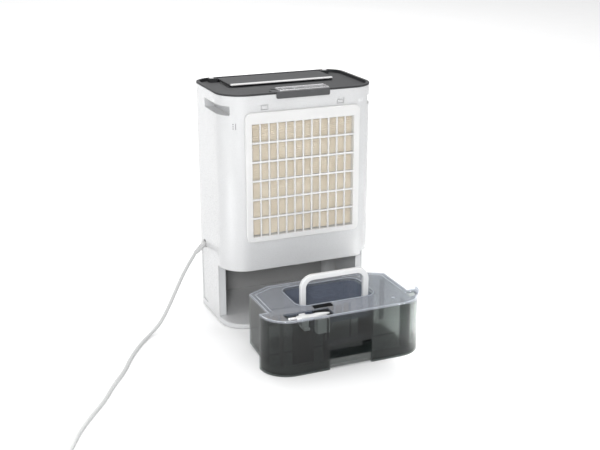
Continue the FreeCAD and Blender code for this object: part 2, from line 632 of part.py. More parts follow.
def heater():
    body = new_body("heater_box")
    box(body, ("rotor_x+18", "rotor_x+88"), ("-19.5", "-3"), ("rotor_z+12", "rotor_z+92"))
    box(body, ("rotor_x+22", "rotor_x+84"), ("-21", "-6"), ("rotor_z+16", "rotor_z+88"), cut=True)
    coil = new_body("heater_element")
    for index in range(4):
        z = f"rotor_z+24+{index}*18"
        box(coil, ("rotor_x+23", "rotor_x+83"), ("-16", "-12"), (z, f"{z}+4"))


def condenser():
    body = new_body("condenser")
    for low, high in (("196", "206"), ("436", "446")):
        box(body, ("-108", "108"), ("-80", "-64"), (low, high))
    for index in range(12):
        x = f"-104+{index}*18.2"
        box(body, (x, f"{x}+8"), ("-78", "-66"), ("205", "437"))
    tray = new_body("drip_tray")
    box(tray, ("-tray_half", "tray_half"), ("-83", "-61"), ("tray_low", "tray_high"))
    box(tray, ("-tray_half+2", "tray_half-2"), ("-81", "-63"), ("tray_low+3", "tray_high+1"), cut=True)
    # a sump under the tray leads the water back to a spout over the lid's inlet
    sump = "tray_low-16"
    box(tray, ("spout_x-7", "spout_x+7"), ("-71", "-44"), (sump, "tray_low+2"))
    box(tray, ("spout_x-5", "spout_x+5"), ("-69", "-46"), (f"{sump}+2", "tray_low"), cut=True)
    rod(tray, "z", ("spout_x", "-67"), "3", ("tray_low-1", "tray_low+4"), cut=True)
    rod(tray, "z", ("spout_x", "spout_y"), "5.5", ("bay_top+1", f"{sump}+1"))
    rod(tray, "z", ("spout_x", "spout_y"), "4", ("bay_top", f"{sump}+3"), cut=True)


def fan_case():
    bulkhead = new_body("fan_bulkhead")
    box(bulkhead, ("-150", "150"), ("2", "5"), ("floor_high+0.2", "deck-14"))
    rod(bulkhead, "y", ("fan_x", "fan_z"), "56", ("0", "8"), cut=True)
    for side in (-1, 1):
        ends = sorted((f"{side}*(width/2-25)", f"{side}*(width/2)"), key=number)
        box(bulkhead, ends, ("0", "8"), ("448", "deck"), cut=True)
    case = new_body("fan_casing")
    low = "fan_z-casing_half"
    slab(case, [("-casing_half", "casing_half", low, "deck-7", "casing_half-2", "3")], ("8", "67"), "y")
    slab(case, [("-casing_half+2.5", "casing_half-2.5", f"{low}+2.5", "deck+5", "casing_half-4.5", "3")],
         ("10.5", "64.5"), "y", cut=True)
    rod(case, "y", ("fan_x", "fan_z"), "56", ("7", "11"), cut=True)
    rod(case, "y", ("fan_x", "fan_z"), "8", ("63", "68"), cut=True)


def impeller():
    wheel = new_body("impeller")
    axis = ("fan_x", "fan_z")
    rod(wheel, "y", axis, "fan_r", ("56", "58"))
    rod(wheel, "y", axis, "fan_r", ("14", "16"))
    rod(wheel, "y", axis, "fan_r-14", ("13", "17"), cut=True)
    # a straight rib ties the two rings together, and leaning blades follow all the way round
    box(wheel, ("fan_x-1", "fan_x+1"), ("15", "57"), ("fan_z+fan_r-13", "fan_z+fan_r-1"))
    rod(wheel, "y", axis, "12", ("46", "57"))
    rod(wheel, "y", axis, "3", ("40", "60"), cut=True)
    lean = FreeCAD.Rotation(V(0, 1, 0), BLADE_LEAN)
    for index in range(BLADES):
        turn = FreeCAD.Rotation(V(0, 1, 0), 360 * index / BLADES)
        feature = wheel.newObject("PartDesign::AdditiveBox", "Blade")
        start = turn.multVec(V(-1, 15, number("fan_r") - 13)) + V(number("fan_x"), 0, number("fan_z"))
        feature.Placement = FreeCAD.Placement(start, turn * lean)
        bind(feature, "Length", "2")
        bind(feature, "Width", "42")
        bind(feature, "Height", "11")


def fan_drive():
    shaft = new_body("fan_shaft")
    rod(shaft, "y", ("fan_x", "fan_z"), "3", ("42", "67.5"))
    motor = new_body("fan_motor")
    rod(motor, "y", ("fan_x", "fan_z"), "38", ("68", "96"))


def electrics():
    board = new_body("power_board")
    box(board, ("-148", "-146.4"), ("8", "58"), ("200", "310"))
    for y, z in (("20", "220"), ("40", "250"), ("24", "285")):
        rod(board, "x", (y, z), "7", ("-146.5", "-124"))
    switch = new_body("tank_switch")
    box(switch, ("-134", "-112"), ("-92", "-78"), ("floor_high+0.2", "floor_high+12"))


def screw_places():
    return [(f"{side}*110", z) for side in (-1, 1) for z in ("40", "180", "330", "470")]


def screws():
    """Eight identical screws whose heads lie in the holes of the shell's back."""
    body = new_body("shell_screws")
    for place in screw_places():
        rod(body, "y", place, "3.4", ("depth/2-2.6", "depth/2-0.4"))


# ---------------------------------------------------------------- cord

RELIEF_LONG = 30
EXIT_WAY = V(-0.80, -0.22, -0.56)
EXIT_WAY.normalize()
# route of the cord from the tip of its strain relief, down to the floor and away along it
ROUTE = [
    (-222, 17, 108), (-248, -3, 76), (-273, -21, 42), (-298, -38, 15), (-327, -60, 4), (-356, -97, 3.7),
    (-388, -148, 3.7), (-414, -202, 3.7), (-447, -251, 3.7), (-476, -305, 3.7), (-511, -353, 3.7),
    (-543, -403, 3.7), (-565, -451, 3.7), (-592, -486, 3.7), (-612, -520, 3.7),
]
COIL_X, COIL_Y, COIL_R, COIL_WIDE = -572.1, -543.5, 39, 22


def bend_radius(before, corner, after):
    """The radius of the arc at a corner: 0.45 of its shorter run over the tangent of half its turn."""
    one, two = corner - before, after - corner
    turn = one.getAngle(two)
    return 0.45 * min(one.Length, two.Length) / math.tan(turn / 2), turn


def round_path(points):
    """Straight runs joined by tangent arcs, as one wire, with its length and its radii."""
    edges, radii, start = [], [], points[0]
    for before, corner, after in zip(points, points[1:], points[2:]):
        radius, turn = bend_radius(before, corner, after)
        cut = radius * math.tan(turn / 2)
        into, out = (corner - before).normalize(), (after - corner).normalize()
        first, last = corner - into * cut, corner + out * cut
        inward = (out - into).normalize()
        middle = corner + inward * (radius / math.cos(turn / 2) - radius)
        edges.append(Part.LineSegment(start, first).toShape())
        edges.append(Part.Arc(first, middle, last).toShape())
        radii.append(radius)
        start = last
    edges.append(Part.LineSegment(start, points[-1]).toShape())
    return Part.Wire(edges), radii


def shape_node(label, shape):
    node = doc.addObject("Part::Feature", label)
    node.Label = label
    node.Shape = shape
    node.Placement = FreeCAD.Placement(V(0, number("tank_out/2"), 0), FreeCAD.Rotation())
    bodies.append(node)


def cord():
    radius = number("cord") / 2
    hole = V(number("-width/2"), number("exit_y"), number("exit_z"))
    tip = hole + EXIT_WAY * RELIEF_LONG
    relief = Part.makeCone(6.5, radius + 1.2, RELIEF_LONG + 2, hole - EXIT_WAY * 2, EXIT_WAY)
    flange = Part.makeCylinder(8.8, number("wall") + 2, hole - V(1, 0, 0), V(1, 0, 0))
    shape_node("strain_relief", relief.fuse(flange).removeSplitter())
    points = [tip] + [V(*place) for place in ROUTE]
    path, radii = round_path(points)
    circle = Part.Wire(Part.makeCircle(radius, points[0], points[1] - points[0]))
    tube = path.makePipeShell([circle], True, False)
    expected = math.pi * radius ** 2 * path.Length
    print("cord radii", [round(r) for r in radii])
    print("cord length", round(path.Length), "volume over expected", round(tube.Volume / expected, 4))
    shape_node("power_cord", tube)
    turns = Part.makeCylinder(COIL_R + COIL_WIDE / 2, 4 * radius + 0.6, V(COIL_X, COIL_Y, 0.2))
    eye = Part.makeCylinder(COIL_R - COIL_WIDE / 2, 40, V(COIL_X, COIL_Y, -5))
    shape_node("cord_coil", turns.cut(eye))


def plug():
    """A generic two-pin plug that lies beside the coil."""
    body = new_body("plug")
    box(body, ("0", "34"), ("-9", "9"), ("0.2", "16"))
    soften(body, "3", lambda b: b.XLength > 10 and b.YLength < 0.01 and b.ZLength < 0.01)
    for y in ("-6", "6"):
        rod(body, "x", (y, "8"), "2.2", ("34", "53"))
    body.Placement = FreeCAD.Placement(V(-563.2, 0, 0), FreeCAD.Rotation(V(0, 0, 1), -25.5))
    bind(body, "Placement.Base.y", "tank_out/2-599.1")


def build():
    base_plate()
    rubber_feet()
    rear_shell()
    front_cover()
    filter_latches()
    grip_cup("grip_cup_left", -1)
    grip_cup("grip_cup_right", 1)
    bay_side("bay_side_left", -1)
    bay_side("bay_side_right", 1)
    bay_back()
    machine_floor()
    top_panel()
    flap()
    fascia()
    buttons()
    filter_frame()
    tank_shell()
    tank_lid()
    handle_well()
    tank_handle()
    float_parts()
    rotor()
    pinion()
    rotor_frame()
    heater()
    condenser()
    fan_case()
    impeller()
    fan_drive()
    electrics()
    screws()
    cord()
    plug()


def check_and_write():
    doc.recompute()
    failed = [thing.Name for thing in doc.Objects if {"Invalid", "Error"} & set(thing.State)]
    if failed:
        raise RuntimeError("failed: " + ", ".join(failed))
    for body in bodies:
        if body.Shape.isNull() or not body.Shape.isValid():
            raise RuntimeError(body.Label + " has no valid shape")
    os.makedirs("parts", exist_ok=True)
    for body in bodies:
        body.Shape.exportStep(f"parts/{body.Label}.step")
        print(body.Label, len(body.Shape.Solids), round(body.Shape.Volume / 1000, 2))


build()
check_and_write()
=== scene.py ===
"""Looks of a free-standing dehumidifier with its water tank drawn out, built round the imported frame."""
import math

import bmesh
import bpy
from mathutils import Matrix, Vector


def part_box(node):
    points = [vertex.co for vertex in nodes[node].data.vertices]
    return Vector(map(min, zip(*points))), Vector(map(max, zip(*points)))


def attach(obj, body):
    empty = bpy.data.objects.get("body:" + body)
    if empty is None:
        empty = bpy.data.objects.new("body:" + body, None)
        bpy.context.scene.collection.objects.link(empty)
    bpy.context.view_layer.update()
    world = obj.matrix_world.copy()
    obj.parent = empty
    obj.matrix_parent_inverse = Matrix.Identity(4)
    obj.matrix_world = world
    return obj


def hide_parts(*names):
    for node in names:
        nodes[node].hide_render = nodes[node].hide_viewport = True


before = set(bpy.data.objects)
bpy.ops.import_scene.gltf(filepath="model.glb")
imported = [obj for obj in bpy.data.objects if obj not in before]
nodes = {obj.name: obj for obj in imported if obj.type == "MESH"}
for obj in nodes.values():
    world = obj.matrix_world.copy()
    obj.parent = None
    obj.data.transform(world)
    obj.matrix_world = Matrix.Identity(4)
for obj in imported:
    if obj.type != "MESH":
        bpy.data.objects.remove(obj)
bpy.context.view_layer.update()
MM = 0.001


# ---------------------------------------------------------------- materials


def material_base(name):
    """A new node material: its tree, its Principled shader and the coordinates of the surface."""
    made = bpy.data.materials.new(name)
    made.use_nodes = True
    tree = made.node_tree
    shader = tree.nodes["Principled BSDF"]
    place = tree.nodes.new("ShaderNodeTexCoord").outputs["Object"]
    return made, tree, shader, place


def noise(tree, place, scale, detail=2.0):
    node = tree.nodes.new("ShaderNodeTexNoise")
    node.inputs["Scale"].default_value = scale
    node.inputs["Detail"].default_value = detail
    tree.links.new(place, node.inputs["Vector"])
    return node.outputs["Fac"]


def tint(tree, factor, dark, light):
    """A colour that runs from dark to light as the factor does."""
    ramp = tree.nodes.new("ShaderNodeValToRGB")
    ramp.color_ramp.elements[0].position = 0.3
    ramp.color_ramp.elements[1].position = 0.7
    ramp.color_ramp.elements[0].color = (*dark, 1)
    ramp.color_ramp.elements[1].color = (*light, 1)
    tree.links.new(factor, ramp.inputs["Fac"])
    return ramp.outputs["Color"]


def spread(tree, factor, low, high):
    node = tree.nodes.new("ShaderNodeMapRange")
    node.inputs["To Min"].default_value = low
    node.inputs["To Max"].default_value = high
    tree.links.new(factor, node.inputs["Value"])
    return node.outputs["Result"]


def bumped(tree, height, distance, strength=0.4, edge=0.0):
    """A normal with fine relief, over edges that are rounded by the given radius."""
    bump = tree.nodes.new("ShaderNodeBump")
    bump.inputs["Distance"].default_value = distance
    bump.inputs["Strength"].default_value = strength
    tree.links.new(height, bump.inputs["Height"])
    if edge:
        round_edge = tree.nodes.new("ShaderNodeBevel")
        round_edge.samples = 4
        round_edge.inputs["Radius"].default_value = edge
        tree.links.new(round_edge.outputs["Normal"], bump.inputs["Normal"])
    return bump.outputs["Normal"]


def plastic(name, colour, roughness=0.35, grain=900, depth=0.00004, shift=0.04, edge=0.0006, coat=0.0):
    """Moulded plastic: a fine grain, a slow drift of colour and gloss, softly rounded edges."""
    made, tree, shader, place = material_base(name)
    drift = noise(tree, place, 9, 3)
    fine = noise(tree, place, grain, 3)
    dark = [c * (1 - shift) for c in colour]
    light = [min(1, c * (1 + shift * 0.5)) for c in colour]
    tree.links.new(tint(tree, drift, dark, light), shader.inputs["Base Color"])
    tree.links.new(spread(tree, fine, roughness - 0.05, roughness + 0.05), shader.inputs["Roughness"])
    tree.links.new(bumped(tree, fine, depth, edge=edge), shader.inputs["Normal"])
    shader.inputs["IOR"].default_value = 1.5
    shader.inputs["Coat Weight"].default_value = coat
    shader.inputs["Coat Roughness"].default_value = 0.08
    return made


def metal(name, colour, roughness):
    """Metal with fine drawn lines across one direction."""
    made, tree, shader, place = material_base(name)
    mapping = tree.nodes.new("ShaderNodeMapping")
    mapping.inputs["Scale"].default_value = (1, 1, 40)
    tree.links.new(place, mapping.inputs["Vector"])
    lines = noise(tree, mapping.outputs["Vector"], 60, 4)
    tree.links.new(tint(tree, lines, [c * 0.88 for c in colour], colour), shader.inputs["Base Color"])
    tree.links.new(spread(tree, lines, roughness - 0.06, roughness + 0.08), shader.inputs["Roughness"])
    tree.links.new(bumped(tree, lines, 0.00002, edge=0.0003), shader.inputs["Normal"])
    shader.inputs["Metallic"].default_value = 1.0
    return made


def smoky(name, clear, haze=0.06, gloss=1.0, body_colour=(0.16, 0.17, 0.18)):
    """Tinted clear plastic. A wall dims what is behind it once, on its near face, and mirrors at a slant.

    Haze is the share of light its own body stops, and gloss scales how strongly it mirrors.
    """
    made, tree, shader, place = material_base(name)
    fine = noise(tree, place, 14, 3)
    geometry = tree.nodes.new("ShaderNodeNewGeometry")
    facing_out = tree.nodes.new("ShaderNodeMath")
    facing_out.operation = "SUBTRACT"
    facing_out.inputs[0].default_value = 1.0
    tree.links.new(geometry.outputs["Backfacing"], facing_out.inputs[1])
    fresnel = tree.nodes.new("ShaderNodeFresnel")
    fresnel.inputs["IOR"].default_value = 1.0 + 0.49 * gloss
    mirror_part = tree.nodes.new("ShaderNodeMath")
    mirror_part.operation = "MULTIPLY"
    tree.links.new(fresnel.outputs["Fac"], mirror_part.inputs[0])
    tree.links.new(facing_out.outputs["Value"], mirror_part.inputs[1])
    through = tree.nodes.new("ShaderNodeBsdfTransparent")
    wall_colour = tree.nodes.new("ShaderNodeMix")
    wall_colour.data_type = "RGBA"
    wall_colour.inputs["B"].default_value = (1, 1, 1, 1)
    dim = [c * 0.93 for c in clear]
    tree.links.new(tint(tree, fine, dim, clear), wall_colour.inputs["A"])
    tree.links.new(geometry.outputs["Backfacing"], wall_colour.inputs["Factor"])
    tree.links.new(wall_colour.outputs["Result"], through.inputs["Color"])
    # the shader gives the faint body of the plastic, and a second one its polish
    shader.inputs["Base Color"].default_value = (*body_colour, 1)
    shader.inputs["Roughness"].default_value = 0.3
    body = tree.nodes.new("ShaderNodeMixShader")
    body.inputs["Fac"].default_value = haze
    tree.links.new(through.outputs["BSDF"], body.inputs[1])
    tree.links.new(shader.outputs["BSDF"], body.inputs[2])
    polish = tree.nodes.new("ShaderNodeBsdfGlossy")
    polish.inputs["Roughness"].default_value = 0.05
    tree.links.new(bumped(tree, fine, 0.0004, 0.15, edge=0.0007), polish.inputs["Normal"])
    whole = tree.nodes.new("ShaderNodeMixShader")
    tree.links.new(mirror_part.outputs["Value"], whole.inputs["Fac"])
    tree.links.new(body.outputs["Shader"], whole.inputs[1])
    tree.links.new(polish.outputs["BSDF"], whole.inputs[2])
    tree.links.new(whole.outputs["Shader"], tree.nodes["Material Output"].inputs["Surface"])
    return made


def filter_paper(name):
    """Pleated filter cloth: warm, fibrous, darker down in the folds."""
    made, tree, shader, place = material_base(name)
    fibres = noise(tree, place, 1400, 5)
    blotches = noise(tree, place, 30, 3)
    mixed = tree.nodes.new("ShaderNodeMath")
    mixed.operation = "MULTIPLY_ADD"
    mixed.inputs[1].default_value = 0.5
    tree.links.new(fibres, mixed.inputs[0])
    half = spread(tree, blotches, 0.1, 0.4)
    tree.links.new(half, mixed.inputs[2])
    colour = tint(tree, mixed.outputs["Value"], (0.80, 0.735, 0.63), (0.93, 0.885, 0.80))
    tree.links.new(colour, shader.inputs["Base Color"])
    tree.links.new(bumped(tree, fibres, 0.0002), shader.inputs["Normal"])
    shader.inputs["Roughness"].default_value = 0.9
    return made


LOOKS = {
    "white": plastic("white_casing", (0.60, 0.605, 0.61), 0.28, coat=0.8),
    "frame": plastic("white_frame", (0.70, 0.70, 0.695), 0.38),
    "bay": plastic("bay_walls", (0.62, 0.63, 0.64), 0.45),
    # the bay's rear wall is the same white plastic as its sides, painted mid-grey as the shade that falls
    # deep in the bay
    "bay_rear_painted_shade": plastic("bay_rear_painted_shade", (0.33, 0.33, 0.33), 0.45),
    "gloss": plastic("white_gloss", (0.74, 0.745, 0.75), 0.16, grain=300, depth=0.00001, coat=0.5),
    "dark": plastic("dark_top", (0.026, 0.027, 0.029), 0.52, grain=1400, depth=0.00006),
    "dark_flap": plastic("dark_flap", (0.030, 0.031, 0.033), 0.46, grain=1400, depth=0.00006),
    "fascia": plastic("dark_fascia", (0.066, 0.067, 0.070), 0.40, grain=1400, depth=0.00006),
    "well": smoky("smoky_well", (0.46, 0.50, 0.60), haze=0.24, gloss=1.5, body_colour=(0.40, 0.44, 0.54)),
    "tank": smoky("smoky_tank", (0.335, 0.36, 0.35), haze=0.01, gloss=1.0),
    "rib": smoky("smoky_rib", (0.24, 0.26, 0.255), haze=0.02),
    "lid": smoky("smoky_lid", (0.60, 0.63, 0.68), haze=0.22, gloss=1.8, body_colour=(0.56, 0.59, 0.66)),
    # the beads and rims are real ridges; their pale milky body paints the bright highlight lines along them
    "bead": smoky("smoky_bead_painted_highlight", (0.70, 0.73, 0.78), haze=0.45, gloss=2.2, body_colour=(0.66, 0.70, 0.77)),
    "band": smoky("smoky_band", (0.55, 0.57, 0.56), haze=0.45, body_colour=(0.13, 0.14, 0.135)),
    "sleeve": smoky("smoky_sleeve", (0.16, 0.17, 0.17), haze=0.02),
    "black": plastic("black_funnel", (0.012, 0.013, 0.014), 0.6),
    "mark": plastic("grey_marks", (0.12, 0.12, 0.12), 0.5, edge=0.0),
    "display_pad": plastic("display_pads", (0.30, 0.30, 0.31), 0.25, grain=200, depth=0.00001, coat=0.5),
    # the flap's polished trim strip, given a near-white plain colour that paints its bright sheen
    "strip": plastic("strip_painted_sheen", (0.93, 0.93, 0.93), 0.22, grain=400, depth=0.00001, coat=0.8),
    "silver": metal("silver_trim", (0.82, 0.82, 0.83), 0.22),
    "steel": metal("turned_steel", (0.60, 0.60, 0.62), 0.34),
    # the flap's pivot caps, painted pale grey as the glint that shows on them
    "light": plastic("caps_painted_glint", (0.72, 0.72, 0.72), 0.4),
    "display": plastic("display_gloss", (0.13, 0.13, 0.135), 0.12, grain=200, depth=0.00001, coat=0.8),
    "board": plastic("circuit_board", (0.03, 0.17, 0.07), 0.5, grain=500),
    "zeolite": plastic("zeolite_block", (0.62, 0.58, 0.50), 0.9, grain=500, depth=0.0004, shift=0.15),
    "inner": plastic("inner_plastic", (0.16, 0.16, 0.165), 0.5),
    "motor": metal("motor_shell", (0.42, 0.42, 0.44), 0.42),
    "heater": metal("heater_wire", (0.45, 0.38, 0.32), 0.5),
    "rubber": plastic("rubber_feet", (0.03, 0.03, 0.03), 0.75, grain=700, depth=0.0002),
    "cord": plastic("white_lead", (0.55, 0.55, 0.55), 0.42, grain=1200, edge=0.0),
    "filter": filter_paper("filter_cloth"),
}

NODE_LOOKS = {
    "white": ["base_plate", "rear_shell", "front_cover", "filter_latches", "grip_cup_left",
              "grip_cup_right"],
    "frame": ["filter_frame"],
    "bay": ["bay_side_left", "bay_side_right"],
    "bay_rear_painted_shade": ["bay_back"],
    "gloss": ["tank_handle", "float_bracket", "float_lever", "float_block"],
    "dark": ["top_panel", "button_power", "button_mode", "button_timer", "button_swing"],
    "fascia": ["control_fascia"],
    "dark_flap": ["outlet_flap"],
    "tank": ["tank_shell"],
    "lid": ["tank_lid"],
    "well": ["handle_well"],
    "strip": ["flap_strip"],
    "silver": ["display_bezel"],
    "steel": ["float_magnet", "flap_pins", "float_pin", "rotor_axle", "fan_shaft", "pinion_shaft",
              "shell_screws", "heater_box"],
    "light": ["flap_pin_caps"],
    "display": ["display_window"],
    "board": ["control_board", "power_board"],
    "filter": ["filter_pack"],
    "zeolite": ["zeolite_rotor"],
    "inner": ["rotor_hub", "rotor_rim", "drive_pinion", "rotor_frame", "machine_floor", "fan_bulkhead",
              "fan_casing", "impeller", "condenser", "drip_tray", "tank_switch"],
    "motor": ["rotor_motor", "fan_motor"],
    "heater": ["heater_element"],
    "rubber": ["rubber_feet"],
    "cord": ["strain_relief", "power_cord", "cord_coil", "plug"],
}
for look, members in NODE_LOOKS.items():
    for member in members:
        mesh = nodes[member].data
        mesh.materials.clear()
        mesh.materials.append(LOOKS[look])


# ---------------------------------------------------------------- mesh helpers


def piece(name, shape, look, body, crease=35, bevel=0.0):
    """Turns a bmesh into a piece that rides on a body, smooth except at its creases."""
    bmesh.ops.recalc_face_normals(shape, faces=shape.faces)
    mesh = bpy.data.meshes.new(name)
    shape.to_mesh(mesh)
    shape.free()
    mesh.materials.append(LOOKS[look])
    for polygon in mesh.polygons:
        polygon.use_smooth = True
    mesh.set_sharp_from_angle(angle=math.radians(crease))
    made = bpy.data.objects.new(name, mesh)
    bpy.context.scene.collection.objects.link(made)
    if bevel:
        rounder = made.modifiers.new("edges", "BEVEL")
        rounder.width = bevel
        rounder.segments = 2
        rounder.limit_method = "ANGLE"
    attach(made, body)
    return made


def block(shape, low, high):
    """Adds a box between two corners to a bmesh."""
    low, high = Vector(low), Vector(high)
    size = Matrix.Diagonal((*(high - low), 1))
    bmesh.ops.create_cube(shape, size=1, matrix=Matrix.Translation((low + high) / 2) @ size)


def lofted(shape, sections, looped=False):
    """Joins rings of points into a skin, capped at both ends or led back from the last ring to the first."""
    rings = [[shape.verts.new(point) for point in section] for section in sections]
    for one, two in zip(rings, rings[1:] + (rings[:1] if looped else [])):
        for k in range(len(one)):
            after = (k + 1) % len(one)
            shape.faces.new((one[k], one[after], two[after], two[k]))
    if not looped:
        shape.faces.new(rings[0][::-1])
        shape.faces.new(rings[-1])


def ring(centre, axis, radius, count=24):
    """Points of a circle round an axis."""
    turn = Vector(axis).to_track_quat("Z", "Y")
    points = []
    for k in range(count):
        angle = 2 * math.pi * k / count
        spoke = Vector((radius * math.cos(angle), radius * math.sin(angle), 0))
        points.append(Vector(centre) + turn @ spoke)
    return points


# ---------------------------------------------------------------- cord


def mm(x, y, z):
    """A place of the casing's own layout, in millimetres, as a point of the frame."""
    return Vector((x, y + 120, z)) * MM


CORD_THICK = 7 * MM
RELIEF_LONG = 30
EXIT_WAY = Vector((-0.80, -0.22, -0.56)).normalized()
exit_hole = mm(-168.5, 45, 150)
relief_tip = exit_hole + EXIT_WAY * RELIEF_LONG * MM
ROUTE = [
    (-222, 17, 108), (-248, -3, 76), (-273, -21, 42), (-298, -38, 15), (-327, -60, 4), (-356, -97, 3.7),
    (-388, -148, 3.7), (-414, -202, 3.7), (-447, -251, 3.7), (-476, -305, 3.7), (-511, -353, 3.7),
    (-543, -403, 3.7), (-565, -451, 3.7), (-592, -486, 3.7), (-612, -520, 3.7),
]
# the put-away length: two turns inwards on the floor, a climb, and turns outwards on top of them
COIL_CENTRE = (-572.1, -543.5)
COIL_START = math.radians(149.5)
OUTER, INNER, FLOOR, UPPER = 46.8, 32.2, 3.7, 10.9
CLIMB_FROM, CLIMB_TO, TURNS, STEPS = 2.0, 2.4, 4.264, 16


def coil_point(turn):
    if turn < CLIMB_FROM:
        radius, height = OUTER - (OUTER - INNER) * turn / CLIMB_FROM, FLOOR
    elif turn < CLIMB_TO:
        radius, height = INNER, FLOOR + (UPPER - FLOOR) * (turn - CLIMB_FROM) / (CLIMB_TO - CLIMB_FROM)
    else:
        radius = INNER + (OUTER - INNER) * (turn - CLIMB_TO) / (TURNS - CLIMB_TO)
        height = UPPER
    angle = COIL_START + 2 * math.pi * turn
    return mm(COIL_CENTRE[0] + radius * math.cos(angle), COIL_CENTRE[1] + radius * math.sin(angle), height)


route = [relief_tip] + [mm(*place) for place in ROUTE]
route += [coil_point(step / STEPS) for step in range(1, int(TURNS * STEPS) + 1)]
PLUG_BACK = (-563.2, -599.1)
PLUG_TURN = math.radians(-25.5)
PLUG_WAY = Vector((math.cos(PLUG_TURN), math.sin(PLUG_TURN), 0))
PLUG_SIDE = Vector((-PLUG_WAY.y, PLUG_WAY.x, 0))
PLUG_LEVEL, PRONG_LEVEL, LEAD_LEVEL = 8.1, 8, 9.5
plug_back = mm(*PLUG_BACK, LEAD_LEVEL)
route += [plug_back - PLUG_WAY * 14 * MM, plug_back - PLUG_WAY * MM]

line = bpy.data.curves.new("lead", "CURVE")
line.dimensions = "3D"
line.bevel_depth = CORD_THICK / 2
line.bevel_resolution = 6
line.resolution_u = 8
line.use_fill_caps = True
spline = line.splines.new("NURBS")
spline.points.add(len(route) - 1)
for control, place in zip(spline.points, route):
    control.co = (*place, 1)
spline.order_u = 3
spline.use_endpoint_u = True
line.materials.append(LOOKS["cord"])
lead = bpy.data.objects.new("lead", line)
bpy.context.scene.collection.objects.link(lead)
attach(lead, "unit")
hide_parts("power_cord", "cord_coil")


def relief_sections():
    """Rings along the strain relief: a flange, then ribs that get smaller towards the tip."""
    profile = [(-1.5, 7.0), (0.5, 7.0), (1.0, 6.6)]
    ribs = 6
    for k in range(ribs):
        start = 1.5 + k * 4.6
        thick = 6.4 - 0.32 * k
        profile += [(start, thick - 0.9), (start + 0.7, thick), (start + 2.9, thick - 0.1),
                    (start + 3.6, thick - 1.1)]
    profile += [(29.2, 4.3), (29.9, 3.8)]
    return [ring(exit_hole + EXIT_WAY * along * MM, EXIT_WAY, thick * MM, 28) for along, thick in profile]


relief_shape = bmesh.new()
lofted(relief_shape, relief_sections())
relief = piece("relief_ribs", relief_shape, "cord", "unit")
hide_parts("strain_relief")


def plug_ring(along, wide, high):
    """A rounded section across the plug, a given way from its back end."""
    points = []
    for k in range(28):
        angle = 2 * math.pi * k / 28
        across = math.copysign(abs(math.cos(angle)) ** 0.6, math.cos(angle)) * wide
        up = math.copysign(abs(math.sin(angle)) ** 0.6, math.sin(angle)) * high
        level = (PLUG_WAY * along + PLUG_SIDE * across) * MM
        points.append(mm(*PLUG_BACK, PLUG_LEVEL) + level + Vector((0, 0, up * MM)))
    return points


def plug_shape():
    """The plug's body: a slim collar round the cord that widens to a block."""
    sections = ((0.3, 3.9, 3.9), (1, 4.6, 4.6), (5, 4.9, 4.8), (9, 6.4, 5.8), (13, 8.2, 7.2),
                (18, 8.8, 7.7), (26, 8.9, 7.8), (31, 8.7, 7.6), (33.4, 8.2, 7.1), (34, 7.4, 6.3))
    shape = bmesh.new()
    lofted(shape, [plug_ring(*section) for section in sections])
    return shape


def prong_shape():
    """Two round prongs with blunt tips."""
    shape = bmesh.new()
    for offset in (-6, 6):
        base = mm(*PLUG_BACK, PRONG_LEVEL) + PLUG_SIDE * offset * MM
        lofted(shape, [ring(base + PLUG_WAY * along * MM, PLUG_WAY, thick * MM, 18)
                       for along, thick in ((33, 2.2), (50.5, 2.2), (52.2, 1.7), (52.9, 0.8))])
    return shape


plug_body = piece("plug_body", plug_shape(), "cord", "unit", crease=50)
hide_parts("plug")
prongs = piece("plug_prongs", prong_shape(), "steel", "unit")


# ---------------------------------------------------------------- filter


def pleated_pack():
    """The filter cloth, folded to and fro from bottom to top, with slightly uneven folds."""
    low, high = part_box("filter_pack")
    folds, columns = 52, 36
    shape = bmesh.new()
    rows = []
    for k in range(2 * folds + 1):
        height = low.z + (high.z - low.z) * k / (2 * folds)
        near = k % 2
        row = []
        for c in range(columns + 1):
            x = low.x + (high.x - low.x) * c / columns
            sway = 0.0004 * math.sin(c * 0.9 + k * 0.35) + 0.0003 * math.sin(c * 2.3 - k * 0.21)
            depth = low.y + (0.0006 if near else 0.0075) + 0.0003 * math.sin(c * 1.7 + k * 1.3)
            row.append(shape.verts.new((x, depth, min(max(height + sway, low.z), high.z))))
        rows.append(row)
    for one, two in zip(rows, rows[1:]):
        for c in range(columns):
            shape.faces.new((one[c], one[c + 1], two[c + 1], two[c]))
    # the cloth's far side, so that the pack is a closed block of folds
    back = [[shape.verts.new((end.co.x, high.y, end.co.z)) for end in (row[0], row[-1])] for row in rows]
    for k in range(len(rows) - 1):
        shape.faces.new((rows[k][0], rows[k + 1][0], back[k + 1][0], back[k][0]))
        shape.faces.new((rows[k][-1], back[k][1], back[k + 1][1], rows[k + 1][-1]))
        shape.faces.new((back[k][0], back[k + 1][0], back[k + 1][1], back[k][1]))
    shape.faces.new([*rows[0], back[0][1], back[0][0]])
    shape.faces.new([*rows[-1][::-1], back[-1][0], back[-1][1]])
    return shape


cloth = piece("filter_folds", pleated_pack(), "filter", "filter", crease=60)
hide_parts("filter_pack")


# ---------------------------------------------------------------- small marks and the display

CORNER_MID, CORNER_ROUND = (-113.5, -49), 55


def on_corner(x, z, proud=0.0):
    """A point on, or proud of, the casing's rounded front left corner, and the outward way there."""
    back = math.sqrt(CORNER_ROUND ** 2 - (x - CORNER_MID[0]) ** 2)
    way = Vector((x - CORNER_MID[0], -back, 0)).normalized()
    return mm(x, CORNER_MID[1] - back, z) + way * proud * MM, way


